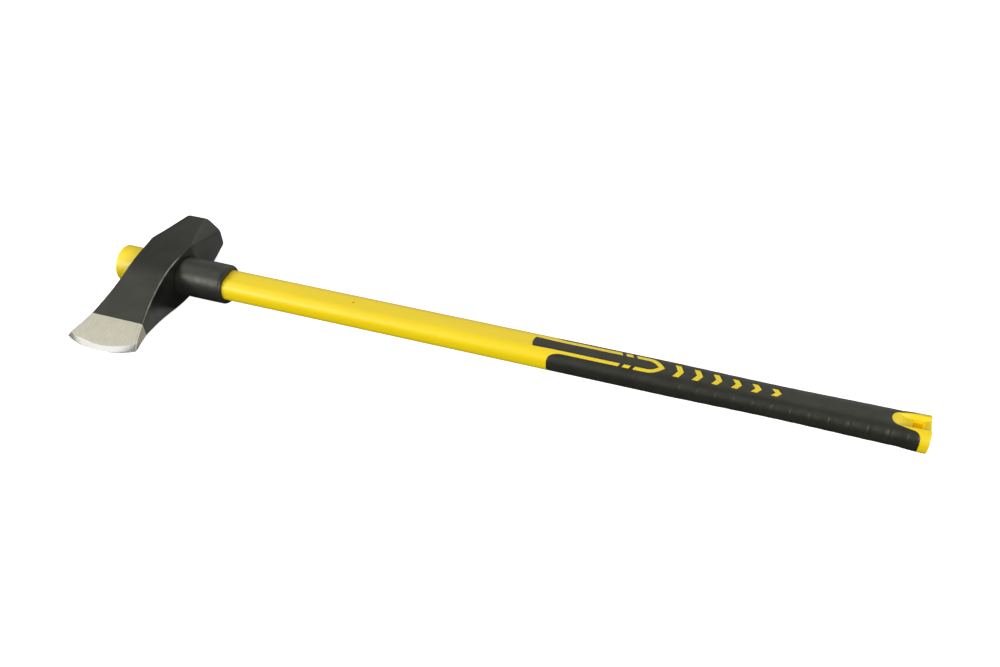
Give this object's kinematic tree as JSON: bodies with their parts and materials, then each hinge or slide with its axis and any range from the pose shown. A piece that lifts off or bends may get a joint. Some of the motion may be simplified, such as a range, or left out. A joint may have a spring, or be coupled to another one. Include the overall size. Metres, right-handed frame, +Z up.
{
  "type": "splitting maul",
  "caption": "Long-handled splitting maul: a wedge-shaped steel head with a hammer poll, bonded to a fibreglass-cored handle with a rubber collar and a rubber grip.",
  "frame": {"origin": "bottom centre of the bounding box, with the maul lying flat on one cheek of its head", "axes": "+X along the handle from the head to the butt, +Y from the cutting edge to the striking face, +Z up, square to the cheeks"},
  "size_m": [0.9024, 0.2196, 0.0568],
  "materials": {
    "painted_head": "satin charcoal paint, with the bit ground to bare steel",
    "resin": "satin",
    "fibreglass": "matte",
    "yellow_plastic": "satin",
    "collar_rubber": "satin",
    "grip_rubber": "matte"
  },
  "bodies": {
    "root": {"head": "painted_head", "eye_resin": "resin", "core_rod": "fibreglass", "handle_jacket": "yellow_plastic", "collar": "collar_rubber", "grip": "grip_rubber"}
  },
  "joints": []
}
